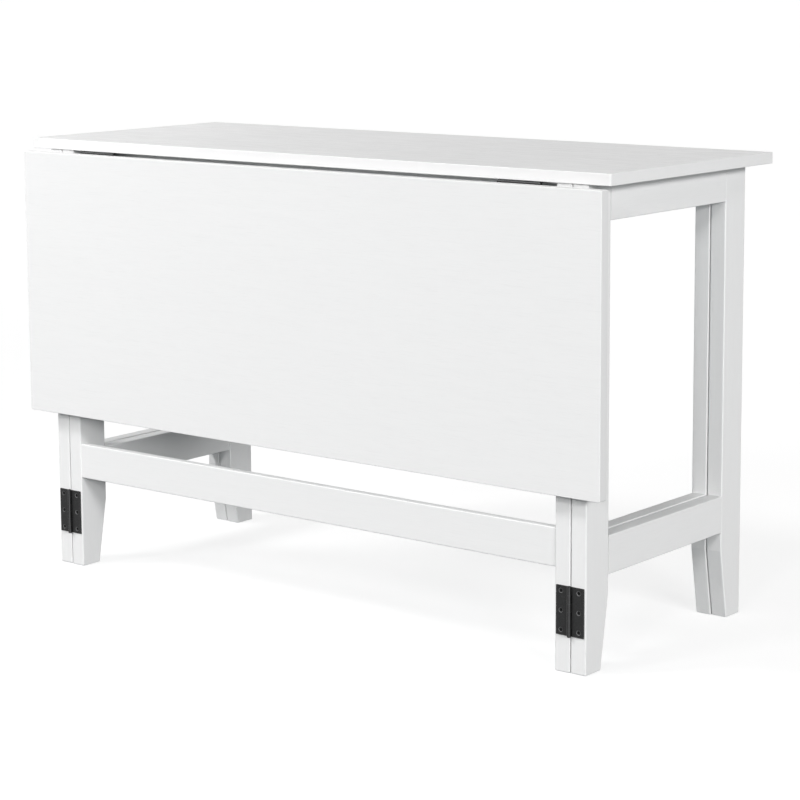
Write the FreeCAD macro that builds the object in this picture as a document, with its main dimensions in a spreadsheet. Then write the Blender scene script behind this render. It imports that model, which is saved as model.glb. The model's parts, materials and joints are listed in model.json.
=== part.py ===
import FreeCAD, Part
import os
import Sketcher
from FreeCAD import Placement, Rotation, Vector

# Extending table: a fixed top on two end frames, a drop leaf along the front edge
# and a gate frame outside each end frame that swings out to carry the raised leaf.
# +X runs along the length, +Y to the back, +Z up. The origin is on the floor, under the
# middle of the folded table. All sizes are in millimetres.

doc = FreeCAD.newDocument("extending_table")
sheet = doc.addObject("Spreadsheet::Sheet", "Sizes")

SIZES = [
    ("table_height", 750, "floor to the upper face of the top"),
    ("top_length", 1200, "length of the top and of the leaf"),
    ("top_width", 460, "depth of the fixed top"),
    ("board_thk", 18, "thickness of the top and of the leaf"),
    ("board_corner", 3, "corner radius of the boards, seen on the broad face"),
    ("board_ease", 1.2, "rounding of the boards' edges"),
    ("leaf_height", 454, "depth of the leaf, hanging"),
    ("leaf_gap", 4.3, "hanging leaf: clear of the top's edge line and of its underside"),
    ("leg_thk", 27.25, "leg, along the table's length"),
    ("leg_depth", 59, "leg, front to back, above the taper"),
    ("foot_depth", 40, "leg, front to back, at the floor"),
    ("taper_start", 112, "height at which the taper begins"),
    ("leg_ease", 2.0, "rounding of the legs' long edges and of the edges round the foot"),
    ("leg_setback", 3, "leg fronts behind the top's front edge"),
    ("frame_depth", 441, "end frame, front of the front leg to back of the back leg"),
    ("seam_x", 532, "middle of the gap between fixed frame and gate"),
    ("frame_gap", 1.5, "gap between fixed frame and gate"),
    ("gate_lift", 0.5, "gate feet above the floor"),
    ("gate_drop", 0.8, "gate top below the underside of the top"),
    ("rail_thk", 24.5, "side rails, along the table's length"),
    ("rail_ease", 1.8, "rounding of the rails' long edges"),
    ("upper_rail_z", 675, "bottom of the upper rails and aprons"),
    ("lower_rail_z", 143.5, "bottom of the lower side rails"),
    ("lower_rail_h", 60, "height of the lower side rails"),
    ("stretcher_z", 158.5, "bottom of the front stretcher"),
    ("stretcher_h", 60, "height of the front stretcher"),
    ("stretcher_thk", 15, "front stretcher, front to back"),
    ("stretcher_set", 1.5, "front stretcher behind the leg fronts"),
    ("apron_thk", 18, "aprons, front to back"),
    ("front_apron_set", 27, "front apron behind the leg fronts"),
    ("rear_apron_set", 1.5, "rear apron in from the leg backs"),
    ("dowel_rad", 4, "dowel radius"),
    ("dowel_len", 35.6, "dowel length"),
    ("dowel_in_leg", 16, "depth of the dowel holes in the legs"),
    ("dowel_in_rail", 20, "depth of the dowel holes in the rails"),
    ("fit_play", 0.05, "radial play of pins, dowels and screws in their holes"),
    ("hinge_len", 76, "butt hinge, along its pin"),
    ("hinge_leaf", 25, "hinge plate, from the pin's axis to its edge"),
    ("hinge_thk", 1.8, "hinge plate thickness"),
    ("hinge_axis", 3.7, "pin axis in front of the face that the plate lies on"),
    ("knuckle_rad", 3.1, "hinge knuckle radius"),
    ("knuckle_play", 0.15, "play at each end of a knuckle"),
    ("hinge_pin_rad", 1.75, "hinge pin radius"),
    ("pin_cap_rad", 2.7, "radius of the pin's end caps"),
    ("pin_cap_len", 1.3, "length of the pin's end caps"),
    ("plate_start", 0.4, "edge of the plate from the axis plane"),
    ("plate_corner", 1.0, "corner radius of the plate's outer corners"),
    ("plate_ease", 0.3, "rounding of the plate's outer rim"),
    ("notch_reach", 4.2, "notch for the other plate's knuckle"),
    ("notch_floor", 0.3, "thickness of the notch's floor, under the other plate's knuckle"),
    ("screw_from_axis", 16, "screw line from the pin's axis"),
    ("screw_pitch", 30, "hinge screw spacing along the pin"),
    ("sink_rad", 3.8, "countersink radius at the plate's face"),
    ("screw_sink", 0.55, "hinge screw head below the plate's face"),
    ("screw_head_rad", 3.05, "hinge screw head radius"),
    ("screw_rad", 1.6, "hinge screw shank radius"),
    ("screw_depth", 12, "hinge screw length in the wood"),
    ("recess_len", 3.4, "cross recess, tip to tip"),
    ("recess_wid", 1.0, "cross recess, width"),
    ("recess_deep", 1.0, "cross recess, depth"),
    ("recess_core", 1.25, "radius of the round middle of the cross recess"),
    ("recess_core_deep", 2.2, "depth of the round middle of the cross recess"),
    ("gate_hinge_low", 95.5, "middle of the lower gate hinge"),
    ("gate_hinge_high", 640, "middle of the upper gate hinge"),
    ("leaf_hinge_x", 440, "middle of each drop-leaf hinge from the table's middle"),
    ("bolt_rad", 3, "connector bolt radius"),
    ("bolt_len", 60, "connector bolt length under its head"),
    ("bolt_head_rad", 5, "connector bolt head radius"),
    ("bolt_head_len", 5, "connector bolt head height"),
    ("bolt_seat_rad", 6, "counterbore radius for the bolt head"),
    ("bolt_seat_deep", 6.5, "counterbore depth for the bolt head"),
    ("bolt_hex", 2.3, "hex socket of the bolt, centre to corner"),
    ("nut_rad", 5, "barrel nut radius"),
    ("nut_len", 12, "barrel nut length"),
    ("nut_inset", 35, "barrel nut from the end of the stretcher or apron"),
    ("top_screw_rad", 2, "top fixing screw radius"),
    ("top_screw_len", 39, "top fixing screw length under its head"),
    ("top_screw_head", 4, "top fixing screw head radius"),
    ("top_screw_head_len", 2.5, "top fixing screw head height"),
    ("top_screw_seat", 4.6, "counterbore radius for the top fixing screw"),
    ("top_screw_seat_deep", 30, "counterbore depth for the top fixing screw"),
]
for row, (alias, value, note) in enumerate(SIZES, start=1):
    sheet.set("A%d" % row, alias)
    sheet.set("B%d" % row, str(value))
    sheet.set("C%d" % row, note)
    sheet.setAlias("B%d" % row, alias)
doc.recompute()


def size(alias):
    return float(sheet.get(alias))


def bind(obj, **links):
    for prop, formula in links.items():
        obj.setExpression(prop.replace("__", "."), formula)
    return obj


def ref(alias):
    return "Sizes." + alias


# ---------------------------------------------------------------- places
top_z = size("table_height") - size("board_thk")
front = -(size("top_width") - size("leaf_gap") - size("board_thk")) / 2
leg_front = front + size("leg_setback")
leg_back = leg_front + size("frame_depth")
rail_y0 = leg_front + size("leg_depth")
rail_len = size("frame_depth") - 2 * size("leg_depth")
rail_y1 = rail_y0 + rail_len
half_gap = size("frame_gap") / 2
fixed_in = size("seam_x") - half_gap - size("leg_thk")
fixed_out = size("seam_x") - half_gap
gate_in = size("seam_x") + half_gap
gate_out = gate_in + size("leg_thk")
gate_top = top_z - size("gate_drop")
upper_h = top_z - size("upper_rail_z")
gate_upper_h = gate_top - size("upper_rail_z")
axis_y = leg_front - size("hinge_axis")
leaf_axis_y = front - size("leaf_gap") + size("hinge_axis")
leaf_axis_z = top_z - size("hinge_axis")
stretcher_y = leg_front + size("stretcher_set")
front_apron_y = leg_front + size("front_apron_set")
rear_apron_y = leg_back - size("rear_apron_set") - size("apron_thk")


# ---------------------------------------------------------------- builders
def origin_plane(body, role):
    return [f for f in body.Origin.OriginFeatures if f.Role == role][0]


def profile(body, name, role, corners):
    """A closed outline on one of the body's origin planes. corners: pairs of formulas, 0 or text."""
    sketch = body.newObject("Sketcher::SketchObject", name)
    sketch.AttachmentSupport = [(origin_plane(body, role), "")]
    sketch.MapMode = "FlatFace"
    values = []
    for a, b in corners:
        values.append([sum_of(a), sum_of(b)])
    count = len(values)
    for i in range(count):
        p, q = values[i], values[(i + 1) % count]
        sketch.addGeometry(
            Part.LineSegment(Vector(p[0], p[1], 0), Vector(q[0], q[1], 0)), False
        )
    for i in range(count):
        sketch.addConstraint(Sketcher.Constraint("Coincident", i, 2, (i + 1) % count, 1))
    for i, (a, b) in enumerate(corners):
        for kind, formula, axis, value in (
            ("DistanceX", a, -2, values[i][0]),
            ("DistanceY", b, -1, values[i][1]),
        ):
            if formula == 0:
                sketch.addConstraint(Sketcher.Constraint("PointOnObject", i, 1, axis))
            else:
                n = sketch.addConstraint(
                    Sketcher.Constraint(kind, -1, 1, i, 1, value)
                )
                sketch.setExpression("Constraints[%d]" % n, formula)
    return sketch


def sum_of(formula):
    """The value of a formula made of sheet sizes joined by + and -."""
    if formula == 0:
        return 0.0
    total = 0.0
    for part in formula.replace("-", "+-").split("+"):
        part = part.strip()
        if part:
            sign = -1.0 if part.startswith("-") else 1.0
            total += sign * size(part.lstrip("- ").replace("Sizes.", ""))
    return total


def pad(body, name, sketch, formula):
    feature = body.newObject("PartDesign::Pad", name)
    feature.Profile = sketch
    feature.setExpression("Length", formula)
    doc.recompute()
    return feature


def ease(body, name, feature, radius, wanted):
    """Rounds the edges of a feature that the test wanted() picks."""
    doc.recompute()
    names = [
        "Edge%d" % (i + 1) for i, e in enumerate(feature.Shape.Edges) if wanted(e)
    ]
    fillet = body.newObject("PartDesign::Fillet", name)
    fillet.Base = (feature, names)
    fillet.setExpression("Radius", ref(radius))
    doc.recompute()
    return fillet


def along(edge, axis):
    a, b = edge.Vertexes[0].Point, edge.Vertexes[-1].Point
    d = b - a
    return d.Length > 1e-6 and abs(abs(d.dot(axis)) / d.Length - 1) < 1e-6


X, Y, Z = Vector(1, 0, 0), Vector(0, 1, 0), Vector(0, 0, 1)
NODES = []
HOLES = {}
HOSTS = {}


def host(node, body, x, y, z):
    body.Placement = Placement(Vector(x, y, z), Rotation())
    HOSTS[node] = body
    HOLES.setdefault(node, [])
    return body


def board(node, across, up, thin, role, x, y, z):
    """A board: a plain outline, small corner radii and eased edges. thin is its thin axis."""
    body = doc.addObject("PartDesign::Body", node + "_body")
    sketch = profile(body, node + "_outline", role, across)
    solid = pad(body, node + "_pad", sketch, up)
    corner = ease(body, node + "_corners", solid, "board_corner", lambda e: along(e, thin))
    box = corner.Shape.BoundBox
    lo, hi = [
        (box.ZMin, box.ZMax) if thin == Z else (box.YMin, box.YMax)
    ][0]

    def rim(e):
        c = [v.Point.dot(thin) for v in e.Vertexes]
        return all(abs(k - lo) < 1e-4 for k in c) or all(abs(k - hi) < 1e-4 for k in c)

    ease(body, node + "_edges", corner, "board_ease", rim)
    return host(node, body, x, y, z)


def leg(node, tall, back, x, y, z):
    """A leg that tapers on the face towards the other leg of its frame, with an eased foot."""
    d, f, t = ref("leg_depth"), ref("foot_depth"), ref("taper_start")
    if back:
        corners = [(d + " - " + f, 0), (d, 0), (d, tall), (0, tall), (0, t)]
    else:
        corners = [(0, 0), (f, 0), (d, t), (d, tall), (0, tall)]
    body = doc.addObject("PartDesign::Body", node + "_body")
    sketch = profile(body, node + "_side", "YZ_Plane", corners)
    solid = pad(body, node + "_pad", sketch, ref("leg_thk"))
    ease(
        body,
        node + "_edges",
        solid,
        "leg_ease",
        lambda e: abs(e.Vertexes[0].Point.z - e.Vertexes[-1].Point.z) > 1.0
        or max(v.Point.z for v in e.Vertexes) < 0.01,
    )
    return host(node, body, x, y, z)


def bar(node, role, corners, deep, axis, x, y, z):
    """A straight rail with its long edges eased."""
    body = doc.addObject("PartDesign::Body", node + "_body")
    sketch = profile(body, node + "_outline", role, corners)
    solid = pad(body, node + "_pad", sketch, deep)
    ease(body, node + "_edges", solid, "rail_ease", lambda e: along(e, axis))
    return host(node, body, x, y, z)


def rect(a, b):
    return [(0, 0), (a, 0), (a, b), (0, b)]


def turned(axis, angle, base):
    return Placement(base, Rotation(axis, angle))


def cylinder(name, radius, height, base, direction):
    c = doc.addObject("Part::Cylinder", name)
    bind(c, Radius=radius, Height=height)
    c.Placement = Placement(base, Rotation(Z, direction))
    return c


def hole(node, radius, height, base, direction):
    """A round hole in a wooden piece, from base along direction."""
    HOLES[node].append(
        cylinder("%s_hole_%d" % (node, len(HOLES[node]) + 1), radius, height, base, direction)
    )


def finish(node):
    """The wooden piece with its holes cut."""
    body, holes = HOSTS[node], HOLES[node]
    tools = doc.addObject("Part::Compound", node + "_holes")
    tools.Links = holes
    cut = doc.addObject("Part::Cut", node)
    cut.Base, cut.Tool = body, tools
    cut.Label = node
    NODES.append(cut)


def group(node, pieces):
    if len(pieces) == 1:
        pieces[0].Label = node
        NODES.append(pieces[0])
        return
    c = doc.addObject("Part::Compound", node)
    c.Links = pieces
    c.Label = node
    NODES.append(c)


def fuse(name, pieces):
    f = doc.addObject("Part::MultiFuse", name)
    f.Shapes = pieces
    return f


def cut_of(name, base, tool):
    c = doc.addObject("Part::Cut", name)
    c.Base, c.Tool = base, tool
    return c


def block(name, lx, ly, lz, base):
    b = doc.addObject("Part::Box", name)
    bind(b, Length=lx, Width=ly, Height=lz)
    b.Placement = Placement(base, Rotation())
    return b


# ---------------------------------------------------------------- boards
board(
    "table_top",
    rect(ref("top_length"), ref("top_width")),
    ref("board_thk"),
    Z,
    "XY_Plane",
    -size("top_length") / 2,
    front,
    top_z,
)
board(
    "drop_leaf",
    rect(ref("top_length"), ref("board_thk")),
    ref("leaf_height"),
    Y,
    "XY_Plane",
    -size("top_length") / 2,
    front - size("leaf_gap") - size("board_thk"),
    top_z - size("leaf_gap") - size("leaf_height"),
)

# ---------------------------------------------------------------- end frames and gates
leg_tall = ref("table_height") + " - " + ref("board_thk")
gate_tall = leg_tall + " - " + ref("gate_drop") + " - " + ref("gate_lift")
rail_span = " - ".join([ref("frame_depth"), ref("leg_depth"), ref("leg_depth")])
upper_tall = leg_tall + " - " + ref("upper_rail_z")
gate_upper_tall = upper_tall + " - " + ref("gate_drop")
lift = size("gate_lift")
for side, s in (("left", -1), ("right", 1)):
    fx = fixed_in if s > 0 else -fixed_out
    gx = gate_in if s > 0 else -gate_out
    # the fixed rails lie level with the face towards the gate, the gate's rails with its outer face
    frx = fixed_out - size("rail_thk") if s > 0 else -fixed_out
    grx = gate_out - size("rail_thk") if s > 0 else -gate_out
    leg("fixed_%s_front_leg" % side, leg_tall, False, fx, leg_front, 0)
    leg("fixed_%s_back_leg" % side, leg_tall, True, fx, rail_y1, 0)
    leg("gate_%s_front_leg" % side, gate_tall, False, gx, leg_front, lift)
    leg("gate_%s_back_leg" % side, gate_tall, True, gx, rail_y1, lift)
    for kind, rx, high in (("fixed", frx, upper_tall), ("gate", grx, gate_upper_tall)):
        bar(
            "%s_%s_upper_rail" % (kind, side),
            "YZ_Plane",
            rect(rail_span, high),
            ref("rail_thk"),
            Y,
            rx,
            rail_y0,
            size("upper_rail_z"),
        )
        bar(
            "%s_%s_lower_rail" % (kind, side),
            "YZ_Plane",
            rect(rail_span, ref("lower_rail_h")),
            ref("rail_thk"),
            Y,
            rx,
            rail_y0,
            size("lower_rail_z"),
        )

# ---------------------------------------------------------------- cross members
# between the inner faces of the fixed legs: twice seam_x less the gap and both legs
cross_span = " + ".join([ref("seam_x")] * 2) + " - " + " - ".join(
    [ref("frame_gap"), ref("leg_thk"), ref("leg_thk")]
)
bar(
    "front_stretcher",
    "XY_Plane",
    rect(cross_span, ref("stretcher_thk")),
    ref("stretcher_h"),
    X,
    -fixed_in,
    stretcher_y,
    size("stretcher_z"),
)
for node, y in (("front_apron", front_apron_y), ("rear_apron", rear_apron_y)):
    bar(
        node,
        "XY_Plane",
        rect(cross_span, ref("apron_thk")),
        upper_tall,
        X,
        -fixed_in,
        y,
        size("upper_rail_z"),
    )

# ---------------------------------------------------------------- dowels in the rail joints
hole_rad = ref("dowel_rad") + " + " + ref("fit_play")
deep_leg, deep_rail = size("dowel_in_leg"), size("dowel_in_rail")
dowels = {"frame": [], "gate_left": [], "gate_right": []}


def dowel(owner, base, direction):
    n = len(dowels[owner]) + 1
    dowels[owner].append(
        cylinder("%s_dowel_%d" % (owner, n), ref("dowel_rad"), ref("dowel_len"), base, direction)
    )


def dowel_joint(owner, post, beam, meet, into):
    """A dowel across the joint at the point meet; into points from the post into the beam."""
    back = Vector(into) * -1
    hole(post, hole_rad, ref("dowel_in_leg"), meet, back)
    hole(beam, hole_rad, ref("dowel_in_rail"), meet, into)
    slack = (deep_leg + deep_rail - size("dowel_len")) / 2
    dowel(owner, meet + back * (deep_leg - slack), into)


for side, s in (("left", -1), ("right", 1)):
    for kind, mid, upper in (
        ("fixed", fixed_out - size("rail_thk") / 2, upper_h),
        ("gate", gate_out - size("rail_thk") / 2, gate_upper_h),
    ):
        owner = "frame" if kind == "fixed" else "gate_" + side
        for rail, z in (
            ("upper", size("upper_rail_z") + upper / 2),
            ("lower", size("lower_rail_z") + size("lower_rail_h") / 2),
        ):
            beam = "%s_%s_%s_rail" % (kind, side, rail)
            for dz in (-16, 16):
                dowel_joint(
                    owner,
                    "%s_%s_front_leg" % (kind, side),
                    beam,
                    Vector(s * mid, rail_y0, z + dz),
                    Y,
                )
                dowel_joint(
                    owner,
                    "%s_%s_back_leg" % (kind, side),
                    beam,
                    Vector(s * mid, rail_y1, z + dz),
                    Y * -1,
                )

# ---------------------------------------------------------------- cross member joints
bolts, nuts = [], []
bolt_hole = ref("bolt_rad") + " + " + ref("fit_play")
nut_hole = ref("nut_rad") + " + " + ref("fit_play")
MEMBERS = (
    # member, leg, middle front to back, middle height, open side of the nut's hole
    ("front_stretcher", "front", stretcher_y + size("stretcher_thk") / 2,
     size("stretcher_z") + size("stretcher_h") / 2, 1, size("stretcher_thk")),
    ("front_apron", "front", front_apron_y + size("apron_thk") / 2,
     size("upper_rail_z") + upper_h / 2, 1, size("apron_thk")),
    ("rear_apron", "back", rear_apron_y + size("apron_thk") / 2,
     size("upper_rail_z") + upper_h / 2, -1, size("apron_thk")),
)
for member, which, y, z, mouth, thk in MEMBERS:
    for side, s in (("left", -1), ("right", 1)):
        post = "fixed_%s_%s_leg" % (side, which)
        out = X * s
        for dz in (-18, 18):
            dowel_joint("frame", post, member, Vector(s * fixed_in, y, z + dz), out * -1)
        tag = "%s_%s" % (member, side)
        seat = Vector(s * (fixed_out - size("bolt_seat_deep")), y, z)
        hole(post, ref("bolt_seat_rad"), ref("bolt_seat_deep") + " + 1", seat, out)
        hole(post, bolt_hole, ref("leg_thk"), seat + out * 1, out * -1)
        hole(member, bolt_hole, ref("bolt_len") + " - 12", Vector(s * (fixed_in + 1), y, z), out * -1)
        # bolt: shank, head with a hex socket
        shank = cylinder(tag + "_shank", ref("bolt_rad"), ref("bolt_len"), seat, out * -1)
        head = cylinder(tag + "_head", ref("bolt_head_rad"), ref("bolt_head_len"), seat, out)
        socket = doc.addObject("Part::Prism", tag + "_socket")
        socket.Polygon = 6
        bind(socket, Circumradius=ref("bolt_hex"), Height=ref("bolt_head_len"))
        socket.Placement = Placement(seat + out * 2, Rotation(Z, out))
        bolts.append(cut_of(tag + "_bolt", fuse(tag + "_bolt_solid", [shank, head]), socket))
        # barrel nut: a cross hole for the bolt and a slot in the end that shows
        at = Vector(s * (fixed_in - size("nut_inset")), y, z)
        way = Y * mouth
        inner = at - way * (size("nut_len") / 2)
        hole(member, nut_hole, ref("nut_len") + " + " + ref("apron_thk"), inner - way * 0.1, way)
        barrel = cylinder(tag + "_barrel", ref("nut_rad"), ref("nut_len"), inner, way)
        thread = cylinder(tag + "_thread", bolt_hole, ref("nut_rad") + " * 4", at + X * -2 * size("nut_rad"), X)
        slot = block(tag + "_slot", ref("nut_rad") + " * 4", "1.6", "1.3",
                     Vector(at.x - 2 * size("nut_rad"),
                            at.y + (size("nut_len") / 2 - 1.0 if mouth > 0 else -size("nut_len") / 2 - 0.6),
                            at.z - 0.65))
        nuts.append(cut_of(tag + "_nut", barrel, fuse(tag + "_nut_holes", [thread, slot])))

# ---------------------------------------------------------------- top fixing screws
top_screws = []
screw_hole = ref("top_screw_rad") + " + " + ref("fit_play")
side_mid = fixed_out - size("rail_thk") / 2
FIXINGS = [
    ("fixed_%s_upper_rail" % side, s * side_mid, y)
    for side, s in (("left", -1), ("right", 1))
    for y in (-100, 110)
]
for member, which, y, z, mouth, thk in MEMBERS[1:]:
    FIXINGS += [(member, x, y) for x in (-300, 0, 300)]
for n, (rail, x, y) in enumerate(FIXINGS, start=1):
    low = size("upper_rail_z")
    seat = Vector(x, y, low + size("top_screw_seat_deep"))
    hole(rail, ref("top_screw_seat"), ref("top_screw_seat_deep") + " + 1", Vector(x, y, low - 1), Z)
    hole(rail, screw_hole, ref("top_screw_len"), seat - Z * 1, Z)
    hole("table_top", screw_hole, ref("top_screw_len") + " - 26", Vector(x, y, top_z - 0.5), Z)
    shank = cylinder("top_screw_%d_shank" % n, ref("top_screw_rad"), ref("top_screw_len"), seat, Z)
    head = cylinder("top_screw_%d_head" % n, ref("top_screw_head"), ref("top_screw_head_len"), seat, Z * -1)
    slots = fuse(
        "top_screw_%d_recess" % n,
        [
            block("top_screw_%d_recess_a" % n, "4.4", "0.9", "1.4",
                  seat + Vector(-2.2, -0.45, -size("top_screw_head_len") - 0.1)),
            block("top_screw_%d_recess_b" % n, "0.9", "4.4", "1.4",
                  seat + Vector(-0.45, -2.2, -size("top_screw_head_len") - 0.1)),
        ],
    )
    top_screws.append(cut_of("top_screw_%d" % n, fuse("top_screw_%d_solid" % n, [shank, head]), slots))

# ---------------------------------------------------------------- butt hinges
# One hinge plate in its own frame: the pin along Z, the mounting face at y = hinge_axis,
# the plate reaching out along +X. Six knuckles share the pin; this plate has the first,
# third and fifth from the top, and turned end for end it is the other plate.
half = size("hinge_len") / 2
step = size("hinge_len") / 6
play = size("knuckle_play")
face = size("hinge_axis") - size("hinge_thk")


def rounded(name, base, radius, wanted):
    """The base with the edges that the test wanted() picks rounded to a radius from the sheet."""
    doc.recompute()
    r = size(radius)
    f = doc.addObject("Part::Fillet", name)
    f.Base = base
    f.Edges = [(i + 1, r, r) for i, e in enumerate(base.Shape.Edges) if wanted(e)]
    doc.recompute()
    return f


def plate(node, place):
    blank = block(
        node + "_blank",
        ref("hinge_leaf") + " - " + ref("plate_start"),
        ref("hinge_thk"),
        ref("hinge_len"),
        Vector(size("plate_start"), face, -half),
    )
    outer = size("hinge_leaf")
    cornered = rounded(
        node + "_corners",
        blank,
        "plate_corner",
        lambda e: along(e, Y) and abs(e.Vertexes[0].Point.x - outer) < 1e-4,
    )
    # the rim of the face away from the wood, apart from the side along the knuckles
    slab = rounded(
        node + "_slab",
        cornered,
        "plate_ease",
        lambda e: all(abs(v.Point.y - face) < 1e-4 for v in e.Vertexes)
        and max(v.Point.x for v in e.Vertexes) > size("plate_start") + 1,
    )
    knuckles, gaps, floors = [], [], []
    for i in range(6):
        low = half - step * (i + 1)
        if i % 2 == 0:
            knuckles.append(
                cylinder(
                    "%s_knuckle_%d" % (node, i),
                    ref("knuckle_rad"),
                    ref("hinge_len") + " / 6 - 2 * " + ref("knuckle_play"),
                    Vector(0, 0, low + play),
                    Z,
                )
            )
        else:
            gaps.append(
                block(
                    "%s_gap_%d" % (node, i),
                    ref("notch_reach") + " + 2",
                    ref("hinge_axis") + " + 2",
                    ref("hinge_len") + " / 6 + 2 * " + ref("knuckle_play") + (" + 1" if i == 5 else ""),
                    Vector(-2, 0, low - play - (1 if i == 5 else 0)),
                )
            )
            floors.append(
                block(
                    "%s_floor_%d" % (node, i),
                    ref("notch_reach") + " - " + ref("plate_start") + " + 0.5",
                    ref("notch_floor"),
                    ref("hinge_len") + " / 6 + " + ref("knuckle_play") + (" + " + ref("knuckle_play") if i < 5 else ""),
                    Vector(size("plate_start"), size("hinge_axis") - size("notch_floor"), low - (play if i < 5 else 0)),
                )
            )
    bore = cylinder(
        node + "_bore",
        ref("hinge_pin_rad") + " + " + ref("fit_play"),
        ref("hinge_len") + " + 4",
        Vector(0, 0, -half - 2),
        Z,
    )
    sinks = []
    for k in (-1, 0, 1):
        sink = doc.addObject("Part::Cone", "%s_sink_%d" % (node, k + 2))
        bind(
            sink,
            Radius1=ref("sink_rad"),
            Radius2=ref("screw_rad") + " + " + ref("fit_play"),
            Height=ref("hinge_thk"),
        )
        sink.Placement = Placement(
            Vector(size("screw_from_axis"), face, k * size("screw_pitch")), Rotation(Z, Y)
        )
        sinks.append(sink)
    leaf = cut_of(node + "_notched", slab, fuse(node + "_gaps", gaps))
    whole = fuse(node + "_whole", [leaf] + knuckles + floors)
    done = cut_of(node, whole, fuse(node + "_holes", [bore] + sinks))
    done.Placement = place
    done.Label = node
    NODES.append(done)


def hinge_screws(tag, wood, place):
    """The three screws of a plate, and their holes in the wood that it is fixed to."""
    made = []
    for k in (-1, 0, 1):
        name = "%s_screw_%d" % (tag, k + 2)
        x, z = size("screw_from_axis"), k * size("screw_pitch")
        head = doc.addObject("Part::Cone", name + "_head")
        bind(
            head,
            Radius1=ref("screw_head_rad"),
            Radius2=ref("screw_rad"),
            Height=ref("hinge_thk") + " - " + ref("screw_sink"),
        )
        top_face = face + size("screw_sink")
        head.Placement = Placement(Vector(x, top_face, z), Rotation(Z, Y))
        shank = cylinder(
            name + "_shank",
            ref("screw_rad"),
            ref("screw_depth") + " - 2",
            Vector(x, size("hinge_axis"), z),
            Y,
        )
        tip = doc.addObject("Part::Cone", name + "_tip")
        bind(tip, Radius1=ref("screw_rad"), Radius2="0.3", Height="2")
        tip.Placement = Placement(
            Vector(x, size("hinge_axis") + size("screw_depth") - 2, z), Rotation(Z, Y)
        )
        arm, wide, deep = size("recess_len") / 2, size("recess_wid") / 2, 0.2
        cross = fuse(
            name + "_recess",
            [
                block(name + "_recess_a", ref("recess_len"), ref("recess_deep") + " + 0.2", ref("recess_wid"),
                      Vector(x - arm, top_face - deep, z - wide)),
                block(name + "_recess_b", ref("recess_wid"), ref("recess_deep") + " + 0.2", ref("recess_len"),
                      Vector(x - wide, top_face - deep, z - arm)),
                cylinder(name + "_recess_c", ref("recess_core"), ref("recess_core_deep") + " + 0.2",
                         Vector(x, top_face - deep, z), Y),
            ],
        )
        screw = cut_of(name, fuse(name + "_solid", [head, shank, tip]), cross)
        screw.Placement = place
        made.append(screw)
        start = place.multVec(Vector(x, size("hinge_axis") - 0.5, z))
        way = place.Rotation.multVec(Y)
        hole(wood, ref("screw_rad") + " + " + ref("fit_play"), ref("screw_depth") + " + 1", start, way)
    return made


def hinge_pin(name, place):
    length = half + 0.1
    shaft = cylinder(name + "_shaft", ref("hinge_pin_rad"), ref("hinge_len") + " + 0.4", Vector(0, 0, -half - 0.2), Z)
    caps = []
    for k, (z, way) in enumerate(((length, Z), (-length, Z * -1))):
        base = cylinder("%s_cap_%d" % (name, k), ref("pin_cap_rad"), ref("pin_cap_len") + " / 2", Vector(0, 0, z), way)
        crown = doc.addObject("Part::Cone", "%s_crown_%d" % (name, k))
        bind(crown, Radius1=ref("pin_cap_rad"), Radius2=ref("pin_cap_rad") + " * 0.6", Height=ref("pin_cap_len") + " / 2")
        crown.Placement = Placement(Vector(0, 0, z) + way * (size("pin_cap_len") / 2), Rotation(Z, way))
        caps += [base, crown]
    pin = fuse(name, [shaft] + caps)
    pin.Placement = place
    return pin


# gate hinges: one plate to the right of the seam, the other turned end for end to its left
frame_screws, gate_pins, leaf_pins = [], [], []
gate_screws = {"left": [], "right": []}
end_for_end = Rotation(Y, 180)
for side, s in (("left", -1), ("right", 1)):
    for level in ("lower", "upper"):
        z = size("gate_hinge_low" if level == "lower" else "gate_hinge_high")
        at = Vector(s * size("seam_x"), axis_y, z)
        right_of_seam, left_of_seam = Placement(at, Rotation()), Placement(at, end_for_end)
        fixed = left_of_seam if s > 0 else right_of_seam
        moving = right_of_seam if s > 0 else left_of_seam
        tag = "gate_hinge_%s_%s" % (side, level)
        plate(tag + "_fixed_plate", fixed)
        plate(tag + "_gate_plate", moving)
        frame_screws += hinge_screws(tag + "_fixed", "fixed_%s_front_leg" % side, fixed)
        gate_screws[side] += hinge_screws(tag + "_gate", "gate_%s_front_leg" % side, moving)
        gate_pins.append(hinge_pin(tag + "_pin", Placement(at, Rotation())))

# drop-leaf hinges: one plate on the underside of the top, the other on the back of the leaf
under_top = Rotation(FreeCAD.Matrix(0, 0, 1, 0, 1, 0, 0, 0, 0, 1, 0, 0, 0, 0, 0, 1))
on_leaf = Rotation(FreeCAD.Matrix(0, 0, -1, 0, 0, -1, 0, 0, -1, 0, 0, 0, 0, 0, 0, 1))
leaf_screws = []
for side, s in (("left", -1), ("right", 1)):
    at = Vector(s * size("leaf_hinge_x"), leaf_axis_y, leaf_axis_z)
    tag = "leaf_hinge_%s" % side
    fixed, moving = Placement(at, under_top), Placement(at, on_leaf)
    plate(tag + "_top_plate", fixed)
    plate(tag + "_leaf_plate", moving)
    frame_screws += hinge_screws(tag + "_top", "table_top", fixed)
    leaf_screws += hinge_screws(tag + "_leaf", "drop_leaf", moving)
    leaf_pins.append(hinge_pin(tag + "_pin", fixed))

# ---------------------------------------------------------------- finished pieces
for node in list(HOSTS):
    finish(node)
group("frame_dowels", dowels["frame"])
group("gate_left_dowels", dowels["gate_left"])
group("gate_right_dowels", dowels["gate_right"])
group("connector_bolts", bolts)
group("barrel_nuts", nuts)
group("top_screws", top_screws)
group("gate_hinge_pins", gate_pins)
group("leaf_hinge_pins", leaf_pins)
group("frame_hinge_screws", frame_screws)
group("gate_left_hinge_screws", gate_screws["left"])
group("gate_right_hinge_screws", gate_screws["right"])
group("leaf_hinge_screws", leaf_screws)

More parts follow.
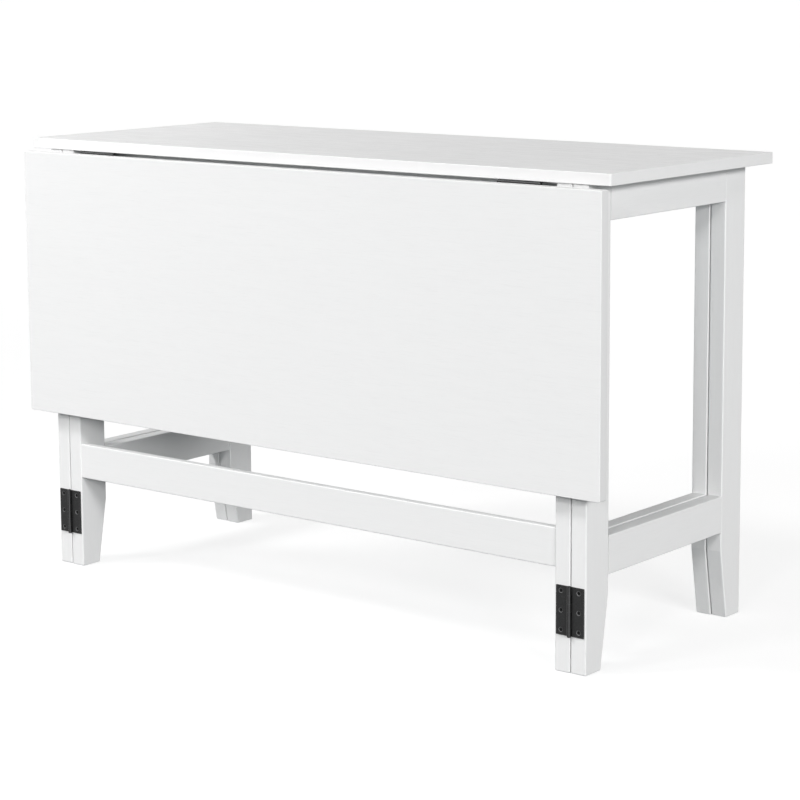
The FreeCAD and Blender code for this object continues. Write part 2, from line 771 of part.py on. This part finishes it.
doc.recompute()

# ---------------------------------------------------------------- checks and files
faults = []
for obj in doc.Objects:
    if "Invalid" in obj.State or "Error" in obj.State:
        faults.append("%s: %s" % (obj.Name, obj.State))
for node in NODES:
    if node.Shape.isNull() or not node.Shape.isValid() or not node.Shape.Solids:
        faults.append("%s: shape" % node.Label)
for node in HOSTS:
    cut = [n for n in NODES if n.Label == node][0]
    if not cut.Shape.Volume < HOSTS[node].Shape.Volume or len(cut.Shape.Solids) != 1:
        faults.append("%s: holes" % node)
if faults:
    raise RuntimeError("; ".join(faults))

os.makedirs("parts", exist_ok=True)
for node in NODES:
    node.Shape.exportStep(os.path.join("parts", node.Label + ".step"))
    print(node.Label, len(node.Shape.Solids), round(node.Shape.Volume / 1000.0, 2), "cm3")
print("nodes", len(NODES))
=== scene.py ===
import json
import math

import bpy
from mathutils import Matrix, Vector

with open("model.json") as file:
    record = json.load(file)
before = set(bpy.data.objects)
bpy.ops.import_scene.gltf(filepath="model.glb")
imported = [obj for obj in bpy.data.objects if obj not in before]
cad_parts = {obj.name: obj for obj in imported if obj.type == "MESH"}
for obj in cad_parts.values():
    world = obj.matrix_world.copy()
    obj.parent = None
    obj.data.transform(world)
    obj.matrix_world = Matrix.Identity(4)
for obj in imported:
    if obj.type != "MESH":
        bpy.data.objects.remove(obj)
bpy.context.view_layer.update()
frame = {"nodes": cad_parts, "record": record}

nodes = frame["nodes"]
scene = bpy.context.scene
scene.view_settings.view_transform = "Standard"


# ---------------------------------------------------------------- node helpers
class Tree:
    """A short way to lay out a material's nodes."""

    def __init__(self, name):
        self.mat = bpy.data.materials.new(name)
        self.mat.use_nodes = True
        self.nt = self.mat.node_tree
        self.nt.nodes.clear()
        self.out = self.add("ShaderNodeOutputMaterial")
        self.bsdf = self.add("ShaderNodeBsdfPrincipled")
        self.link(self.bsdf.outputs["BSDF"], self.out.inputs["Surface"])
        self.coord = self.add("ShaderNodeTexCoord")

    def add(self, kind, **props):
        n = self.nt.nodes.new(kind)
        for k, v in props.items():
            setattr(n, k, v)
        return n

    def link(self, a, b):
        self.nt.links.new(a, b)

    def scaled(self, scale, shift=(0.0, 0.0, 0.0)):
        """The surface's own coordinates, in metres, stretched by scale."""
        m = self.add("ShaderNodeMapping")
        m.inputs["Scale"].default_value = scale
        m.inputs["Location"].default_value = shift
        self.link(self.coord.outputs["Object"], m.inputs["Vector"])
        return m.outputs["Vector"]

    def noise(self, scale, detail=3.0, rough=0.55, warp=0.0, shift=(0.0, 0.0, 0.0)):
        n = self.add("ShaderNodeTexNoise")
        n.inputs["Scale"].default_value = 1.0
        n.inputs["Detail"].default_value = detail
        n.inputs["Roughness"].default_value = rough
        n.inputs["Distortion"].default_value = warp
        self.link(self.scaled(scale, shift), n.inputs["Vector"])
        return n.outputs["Fac"]

    def spread(self, value, lo, hi, to_lo, to_hi, smooth=False):
        """value from lo..hi mapped to to_lo..to_hi, kept inside."""
        n = self.add("ShaderNodeMapRange")
        n.interpolation_type = "SMOOTHSTEP" if smooth else "LINEAR"
        n.clamp = True
        for key, v in (("From Min", lo), ("From Max", hi), ("To Min", to_lo), ("To Max", to_hi)):
            n.inputs[key].default_value = v
        self.link(value, n.inputs["Value"])
        return n.outputs["Result"]

    def math(self, op, a, b):
        n = self.add("ShaderNodeMath", operation=op)
        for socket, v in zip(n.inputs, (a, b)):
            if isinstance(v, (int, float)):
                socket.default_value = v
            else:
                self.link(v, socket)
        return n.outputs["Value"]

    def mix(self, fac, a, b):
        """Colour a where fac is 0, b where it is 1."""
        n = self.add("ShaderNodeMix", data_type="RGBA", blend_type="MIX")
        self.link(fac, n.inputs["Factor"])
        for socket, v in ((n.inputs[6], a), (n.inputs[7], b)):
            if isinstance(v, tuple):
                socket.default_value = (*v, 1.0)
            else:
                self.link(v, socket)
        return n.outputs[2]

    def edge(self, radius, lo, hi, samples=4):
        """1 on sharp outer edges, 0 on the flats."""
        bevel = self.add("ShaderNodeBevel", samples=samples)
        bevel.inputs["Radius"].default_value = radius
        geo = self.add("ShaderNodeNewGeometry")
        dot = self.add("ShaderNodeVectorMath", operation="DOT_PRODUCT")
        self.link(bevel.outputs["Normal"], dot.inputs[0])
        self.link(geo.outputs["Normal"], dot.inputs[1])
        return self.spread(dot.outputs["Value"], lo, hi, 1.0, 0.0, smooth=True)

    def open_air(self, distance, lo, hi, samples=6):
        """1 where the surface is open, 0 deep in gaps and recesses."""
        n = self.add("ShaderNodeAmbientOcclusion", samples=samples)
        n.inputs["Distance"].default_value = distance
        return self.spread(n.outputs["AO"], lo, hi, 0.0, 1.0, smooth=True)

    def bump(self, height, strength, distance, under=None):
        n = self.add("ShaderNodeBump")
        n.inputs["Strength"].default_value = strength
        n.inputs["Distance"].default_value = distance
        self.link(height, n.inputs["Height"])
        if under is not None:
            self.link(under, n.inputs["Normal"])
        return n.outputs["Normal"]


def along(axis, length, across):
    """A scale that stretches a texture along one axis."""
    return tuple(length if i == axis else across for i in range(3))


# ---------------------------------------------------------------- finishes
def white_paint(name, axis, tone, show, relief, shift, face=None, rim=1.0):
    """Satin white paint over wood: the figure and the open pores of the wood run along one
    axis and show faintly in the colour, the gloss and the surface. show is how much of the
    wood the paint lets through, relief its height in metres. face is the axis that a board's
    two broad faces look along; its edges are filled smooth, in a tone of their own if rim is
    not 1."""
    t = Tree(name)
    figure = t.noise(along(axis, 5.0, 62.0), 4.0, 0.62, 0.5, shift)
    fleck = t.noise(along(axis, 15.0, 105.0), 4.0, 0.62, 0.3, shift)
    streak = t.noise(along(axis, 14.0, 420.0), 3.0, 0.6, 0.0, shift)
    fine = t.noise(along(axis, 34.0, 1100.0), 2.0, 0.6, 0.0, shift)
    patch = t.noise((5.0, 5.0, 5.0), 2.0, 0.5, 0.0, shift)
    peel = t.noise((420.0, 420.0, 420.0), 2.0, 0.5, 0.0, shift)
    pore = t.spread(fine, 0.54, 0.74, 0.0, min(0.45 * show, 0.9), smooth=True)
    light = tuple(tone * (c + 0.022 * show) for c in (0.800, 0.800, 0.799))
    dim = tuple(tone * (c - 0.030 * show) for c in (0.800, 0.800, 0.800))
    dark = tuple(c * tone for c in (0.640, 0.644, 0.646))
    worn = tuple(c * tone for c in (0.795, 0.790, 0.780))
    shade = t.math("ADD", t.spread(figure, 0.3, 0.7, 0.0, 0.35), t.spread(streak, 0.32, 0.68, 0.0, 0.20))
    shade = t.math("ADD", shade, t.spread(fleck, 0.32, 0.68, 0.0, 0.45))
    grain = t.math("SUBTRACT", t.math("ADD", figure, t.math("MULTIPLY", streak, 0.16)), t.math("MULTIPLY", pore, 0.18))
    if face is not None:
        split = t.add("ShaderNodeSeparateXYZ")
        t.link(t.coord.outputs["Normal"], split.inputs["Vector"])
        broad = t.spread(t.math("ABSOLUTE", split.outputs[face], 0.0), 0.55, 0.92, 0.0, 1.0, smooth=True)
        pore = t.math("MULTIPLY", pore, broad)
        shade = t.math("MULTIPLY", shade, t.spread(broad, 0.0, 1.0, 0.4, 1.0))
        grain = t.math("MULTIPLY", grain, t.spread(broad, 0.0, 1.0, 0.2, 1.0))
    colour = t.mix(shade, light, dim)
    colour = t.mix(pore, colour, dark)
    if rim != 1.0:
        colour = t.mix(broad, tuple(0.796 * tone * rim for _ in range(3)), colour)
    rub = t.math("MULTIPLY", t.edge(0.0014, 0.80, 0.97), t.spread(patch, 0.40, 0.62, 0.1, 0.6))
    colour = t.mix(rub, colour, worn)
    t.link(colour, t.bsdf.inputs["Base Color"])
    gloss = t.math("ADD", t.spread(streak, 0.3, 0.7, 0.42, 0.50), t.spread(patch, 0.3, 0.7, -0.03, 0.05))
    t.link(gloss, t.bsdf.inputs["Roughness"])
    t.bsdf.inputs["Specular IOR Level"].default_value = 0.42
    normal = t.bump(peel, 0.06, 0.0003)
    normal = t.bump(grain, 0.55, relief, normal)
    t.link(normal, t.bsdf.inputs["Normal"])
    return t.mat


def black_steel(name, base, edge_wear_and_highlight, rough, metal, ring_highlight=0.0):
    """Black-coated steel: fine grain in the coat, a little colour drift, edges lighter as partly
    rubbed wear and partly painted highlight, gaps and recesses dull and darkened by painted shade.
    The last argument sets the brightness of a painted highlight on the countersinks and the flanks of the knuckles."""
    t = Tree(name)
    grain = t.noise((2600.0, 2600.0, 2600.0), 2.0, 0.6)
    speck = t.noise((400.0, 400.0, 400.0), 3.0, 0.7)
    drift = t.noise((120.0, 120.0, 120.0), 3.0, 0.6)
    low, high = tuple(c * base for c in (0.90, 0.92, 0.95)), tuple(c * base for c in (1.7, 1.75, 1.8))
    colour = t.mix(t.math("MULTIPLY", t.spread(drift, 0.3, 0.7, 0.2, 1.0), t.spread(grain, 0.3, 0.7, 0.2, 1.0)), low, high)
    colour = t.mix(t.spread(speck, 0.34, 0.66, 0.0, 1.0), tuple(c * base for c in (0.55, 0.56, 0.58)), colour)
    colour = t.mix(t.spread(speck, 0.56, 0.74, 0.0, 0.8, smooth=True), colour, tuple(c * base for c in (2.9, 3.0, 3.1)))
    # edges lightened: partly rubbed wear, partly a painted highlight along the arrises
    rub = t.math("MULTIPLY", t.edge(0.0006, 0.72, 0.97), t.spread(drift, 0.35, 0.65, 0.35, 0.95))
    colour = t.mix(rub, colour, (edge_wear_and_highlight, edge_wear_and_highlight * 1.01, edge_wear_and_highlight * 1.03))
    if ring_highlight:
        split = t.add("ShaderNodeSeparateXYZ")
        t.link(t.coord.outputs["Normal"], split.inputs["Vector"])
        lean = t.math("ABSOLUTE", split.outputs["Y"], 0.0)
        # painted highlight: surfaces leaning about 45 degrees off the plate, the walls of the countersinks and the
        # flanks of the knuckles, are lightened as if catching the lamps
        ring_highlight_mask = t.math("MULTIPLY", t.spread(lean, 0.66, 0.74, 0.0, 1.0), t.spread(lean, 0.80, 0.88, 1.0, 0.0))
        colour = t.mix(ring_highlight_mask, colour, (ring_highlight, ring_highlight * 1.01, ring_highlight * 1.03))
    unshaded_opening = t.open_air(0.004, 0.25, 0.70)
    # painted shade: deep in gaps and recesses the colour is pulled down to a tenth of the base colour
    colour = t.mix(unshaded_opening, tuple(c * base for c in (0.10, 0.10, 0.11)), colour)
    t.link(colour, t.bsdf.inputs["Base Color"])
    gloss = t.math("ADD", t.spread(grain, 0.25, 0.75, rough - 0.06, rough + 0.10), t.spread(unshaded_opening, 0.0, 1.0, 0.45, 0.0))
    t.link(t.math("ADD", gloss, t.spread(speck, 0.3, 0.7, 0.09, -0.09)), t.bsdf.inputs["Roughness"])
    t.bsdf.inputs["Metallic"].default_value = metal
    t.bsdf.inputs["Specular IOR Level"].default_value = 0.29
    t.link(t.bump(grain, 0.25, 0.00006), t.bsdf.inputs["Normal"])
    return t.mat


def zinc(name):
    """Zinc-plated steel with a faint crystal pattern and a slow drift in tone."""
    t = Tree(name)
    cells = t.add("ShaderNodeTexVoronoi")
    cells.inputs["Scale"].default_value = 1.0
    t.link(t.scaled((500.0, 500.0, 500.0)), cells.inputs["Vector"])
    drift = t.noise((160.0, 160.0, 160.0), 3.0, 0.6)
    colour = t.mix(t.spread(cells.outputs["Distance"], 0.0, 0.8, 0.0, 1.0), (0.62, 0.63, 0.64), (0.52, 0.53, 0.55))
    colour = t.mix(t.spread(drift, 0.4, 0.7, 0.0, 0.5), colour, (0.60, 0.58, 0.52))
    t.link(colour, t.bsdf.inputs["Base Color"])
    t.bsdf.inputs["Metallic"].default_value = 1.0
    t.link(t.spread(drift, 0.3, 0.7, 0.28, 0.46), t.bsdf.inputs["Roughness"])
    t.link(t.bump(cells.outputs["Distance"], 0.10, 0.00005), t.bsdf.inputs["Normal"])
    return t.mat


def beech(name):
    """Pale dowel wood with short rays."""
    t = Tree(name)
    ray = t.noise((700.0, 700.0, 120.0), 3.0, 0.6)
    tone = t.noise((60.0, 60.0, 20.0), 3.0, 0.6)
    colour = t.mix(t.spread(ray, 0.35, 0.7, 0.0, 1.0, True), (0.62, 0.45, 0.29), (0.48, 0.32, 0.19))
    colour = t.mix(t.spread(tone, 0.3, 0.7, 0.0, 0.5), colour, (0.68, 0.52, 0.36))
    t.link(colour, t.bsdf.inputs["Base Color"])
    t.link(t.spread(ray, 0.3, 0.7, 0.52, 0.68), t.bsdf.inputs["Roughness"])
    t.link(t.bump(ray, 0.2, 0.0001), t.bsdf.inputs["Normal"])
    return t.mat


ALONG_X, ALONG_Y, ALONG_Z = 0, 1, 2
FINISH = {
    "white_top": white_paint("white_top_paint", ALONG_X, 0.97, 2.7, 0.0010, (0.0, 0.0, 0.0), ALONG_Z, 0.985),
    "white_leaf": white_paint("white_leaf_paint", ALONG_X, 0.97, 0.38, 0.00014, (3.1, 1.7, 0.4), ALONG_Y, 0.90),
    "white_frame": white_paint("white_leg_paint", ALONG_Z, 0.97, 0.30, 0.00005, (1.3, 0.9, 2.2)),
    "white_rail": white_paint("white_rail_paint", ALONG_Y, 0.97, 0.30, 0.00005, (0.6, 2.4, 1.1)),
    "white_cross": white_paint("white_cross_paint", ALONG_X, 0.97, 0.30, 0.00005, (2.0, 0.3, 3.5)),
    "black_hinge": black_steel("black_hinge_steel", 0.011, 0.150, 0.46, 0.0, 0.125),
    "black_pin": black_steel("black_pin_steel", 0.020, 0.110, 0.34, 0.55),
    "black_screw": black_steel("black_screw_steel", 0.004, 0.040, 0.72, 0.0),
    "zinc_steel": zinc("zinc_plated_steel"),
    "dowel_wood": beech("dowel_beech"),
}
unfinished = set(nodes)
for entry in frame["record"]["subparts"]:
    piece, finish = nodes[entry["node"]], FINISH[entry["material_slot"]]
    if not piece.material_slots:
        piece.data.materials.append(finish)
    for s in piece.material_slots:
        s.material = finish
    unfinished.discard(entry["node"])
if unfinished:
    raise RuntimeError("no finish for %s" % sorted(unfinished))

# ---------------------------------------------------------------- floor and backdrop
floor_mesh = bpy.data.meshes.new("floor")
floor_mesh.from_pydata([(-150, -150, 0), (150, -150, 0), (150, 150, 0), (-150, 150, 0)], [], [(0, 1, 2, 3)])
floor = bpy.data.objects.new("floor", floor_mesh)
floor.location = (0.0, 0.0, -0.0002)
scene.collection.objects.link(floor)
ft = Tree("pale_floor")
mottle = ft.noise((1.3, 1.3, 1.3), 3.0, 0.5)
ft.link(ft.mix(mottle, (0.297, 0.297, 0.297), (0.303, 0.303, 0.303)), ft.bsdf.inputs["Base Color"])
ft.bsdf.inputs["Roughness"].default_value = 0.95
ft.bsdf.inputs["Specular IOR Level"].default_value = 0.1
ft.bsdf.inputs["Emission Color"].default_value = (1.0, 1.0, 1.0, 1.0)
ft.bsdf.inputs["Emission Strength"].default_value = 0.75
floor.data.materials.append(ft.mat)
floor.visible_diffuse = False
floor.visible_shadow = False

wall_mesh = bpy.data.meshes.new("backdrop")
turns = [2.0 * math.pi * i / 96 for i in range(96)]
wall_mesh.from_pydata(
    [(60 * math.cos(a), 60 * math.sin(a), z) for z in (-0.5, 90.0) for a in turns],
    [],
    [(i, (i + 1) % 96, 96 + (i + 1) % 96, 96 + i) for i in range(96)],
)
wall = bpy.data.objects.new("backdrop", wall_mesh)
scene.collection.objects.link(wall)
bt = Tree("pale_backdrop")
cloud = bt.noise((0.02, 0.02, 0.02), 2.0, 0.5)
bt.link(bt.mix(cloud, (0.297, 0.297, 0.297), (0.303, 0.303, 0.303)), bt.bsdf.inputs["Base Color"])
bt.bsdf.inputs["Roughness"].default_value = 0.95
bt.bsdf.inputs["Specular IOR Level"].default_value = 0.1
bt.bsdf.inputs["Emission Color"].default_value = (1.0, 1.0, 1.0, 1.0)
bt.bsdf.inputs["Emission Strength"].default_value = 0.68
wall.data.materials.append(bt.mat)
wall.visible_diffuse = False
wall.visible_glossy = False
wall.visible_shadow = False

# ---------------------------------------------------------------- soft studio light
# wide soft lobes above, below and behind, key lights in front and to the left, lower lights in
# front and at the right end, and light thrown up by the floor behind
ROOM, GROUND = 0.0, 0.02
LOBES = (
    # direction, strength, sharpness
    ((0.0, 0.0, 1.0), 0.30, 2.0),
    ((-0.6, 0.75, 0.3), 0.40, 3.0),
    ((0.0, 0.0, -1.0), 0.65, 4.0),
)
SUNS = (
    # name, degrees from the front towards the right end, elevation, spread, strength
    ("key_light", -20.0, 30.0, 12.0, 0.71),
    ("high_light", -45.0, 45.0, 12.0, 1.12),
    ("front_light", 15.0, 18.0, 8.0, 0.79),
    ("fill_light", 58.0, 14.5, 13.0, 1.14),
    ("end_light", 76.0, 18.5, 9.0, 0.91),
    ("rear_bounce", -150.0, -12.0, 16.0, 0.75),
)
BOXES = (
    # name, place, target, width, height, watts
    ("key_softbox", (-1.1, -2.1, 1.35), (-0.2, -0.2, 0.5), 0.8, 0.7, 5.1),
    ("side_softbox", (-1.5, -1.4, 1.5), (-0.2, -0.2, 0.5), 0.8, 0.8, 3.1),
    ("corner_softbox", (-1.0, -1.1, 1.7), (-0.4, -0.1, 0.6), 0.8, 0.8, 3.0),
    ("left_softbox", (-1.5, 0.2, 1.8), (-0.4, 0.0, 0.75), 0.9, 0.9, 5.4),
    ("end_softbox", (2.5, -0.7, 1.25), (0.5, -0.1, 0.65), 0.8, 0.6, 12.4),
)
world = bpy.data.worlds.new("studio")
scene.world = world
world.use_nodes = True
wt = world.node_tree
wt.nodes.clear()
w_out = wt.nodes.new("ShaderNodeOutputWorld")
w_bg = wt.nodes.new("ShaderNodeBackground")
wt.links.new(w_bg.outputs["Background"], w_out.inputs["Surface"])
w_dir = wt.nodes.new("ShaderNodeTexCoord").outputs["Generated"]
w_split = wt.nodes.new("ShaderNodeSeparateXYZ")
wt.links.new(w_dir, w_split.inputs["Vector"])
w_tint = wt.nodes.new("ShaderNodeValToRGB")
for stop, colour in zip(w_tint.color_ramp.elements, ((0.87, 0.97, 1.0, 1.0), (1.0, 1.0, 1.0, 1.0))):
    stop.color = colour
w_up = wt.nodes.new("ShaderNodeMapRange")
for key, v in (("From Min", -0.05), ("From Max", 0.05)):
    w_up.inputs[key].default_value = v
wt.links.new(w_split.outputs["Z"], w_up.inputs["Value"])
wt.links.new(w_up.outputs["Result"], w_tint.inputs["Fac"])
wt.links.new(w_tint.outputs["Color"], w_bg.inputs["Color"])
w_level = wt.nodes.new("ShaderNodeMapRange")
for key, v in (("From Min", -0.03), ("From Max", 0.03), ("To Min", GROUND), ("To Max", ROOM)):
    w_level.inputs[key].default_value = v
wt.links.new(w_split.outputs["Z"], w_level.inputs["Value"])
total = w_level.outputs["Result"]
for direction, strength, sharp in LOBES:
    dot = wt.nodes.new("ShaderNodeVectorMath")
    dot.operation = "DOT_PRODUCT"
    wt.links.new(w_dir, dot.inputs[0])
    dot.inputs[1].default_value = Vector(direction).normalized()
    keep = wt.nodes.new("ShaderNodeMath")
    keep.operation = "MAXIMUM"
    wt.links.new(dot.outputs["Value"], keep.inputs[0])
    keep.inputs[1].default_value = 0.0
    power = wt.nodes.new("ShaderNodeMath")
    power.operation = "POWER"
    wt.links.new(keep.outputs["Value"], power.inputs[0])
    power.inputs[1].default_value = sharp
    lobe = wt.nodes.new("ShaderNodeMath")
    lobe.operation = "MULTIPLY_ADD"
    wt.links.new(power.outputs["Value"], lobe.inputs[0])
    lobe.inputs[1].default_value = strength
    wt.links.new(total, lobe.inputs[2])
    total = lobe.outputs["Value"]
wt.links.new(total, w_bg.inputs["Strength"])


def aimed(name, data, place, way):
    lamp = bpy.data.objects.new(name, data)
    lamp.location = place
    lamp.rotation_mode = "QUATERNION"
    lamp.rotation_quaternion = way.to_track_quat("-Z", "Y")
    lamp.visible_camera = False
    scene.collection.objects.link(lamp)


for name, turn, rise, spread, strength in SUNS:
    data = bpy.data.lights.new(name, "SUN")
    data.energy, data.angle = strength, math.radians(spread)
    turn, rise = math.radians(turn), math.radians(rise)
    source = Vector((math.sin(turn) * math.cos(rise), -math.cos(turn) * math.cos(rise), math.sin(rise)))
    if rise < 0.0:
        data.color = (0.95, 0.985, 1.0)
    aimed(name, data, source * 6.0, -source)
for name, place, target, wide, tall, watts in BOXES:
    data = bpy.data.lights.new(name, "AREA")
    data.shape, data.size, data.size_y = "RECTANGLE", wide, tall
    data.energy = watts
    aimed(name, data, place, Vector(target) - Vector(place))

# ---------------------------------------------------------------- camera, from the photo's perspective
yaw, pitch, roll = 0.6755, -0.1462, -0.0057
eye = Vector((2.4823, -3.04975, 1.0630))
ahead = Vector((-math.sin(yaw) * math.cos(pitch), math.cos(yaw) * math.cos(pitch), math.sin(pitch)))
level = Vector((math.cos(yaw), math.sin(yaw), 0.0))
up = level.cross(ahead)
right = level * math.cos(roll) + up * math.sin(roll)
upright = up * math.cos(roll) - level * math.sin(roll)
cam_data = bpy.data.cameras.new("photo_camera")
cam_data.sensor_width = 36.0
cam_data.lens = 2383.9 / 800.0 * 36.0
cam_data.shift_x, cam_data.shift_y = 0.0, -0.12
cam_data.clip_start, cam_data.clip_end = 0.05, 400.0
camera = bpy.data.objects.new("photo_camera", cam_data)
scene.collection.objects.link(camera)
camera.matrix_world = Matrix(
    (
        (right.x, upright.x, -ahead.x, eye.x),
        (right.y, upright.y, -ahead.y, eye.y),
        (right.z, upright.z, -ahead.z, eye.z),
        (0.0, 0.0, 0.0, 1.0),
    )
)
scene.camera = camera
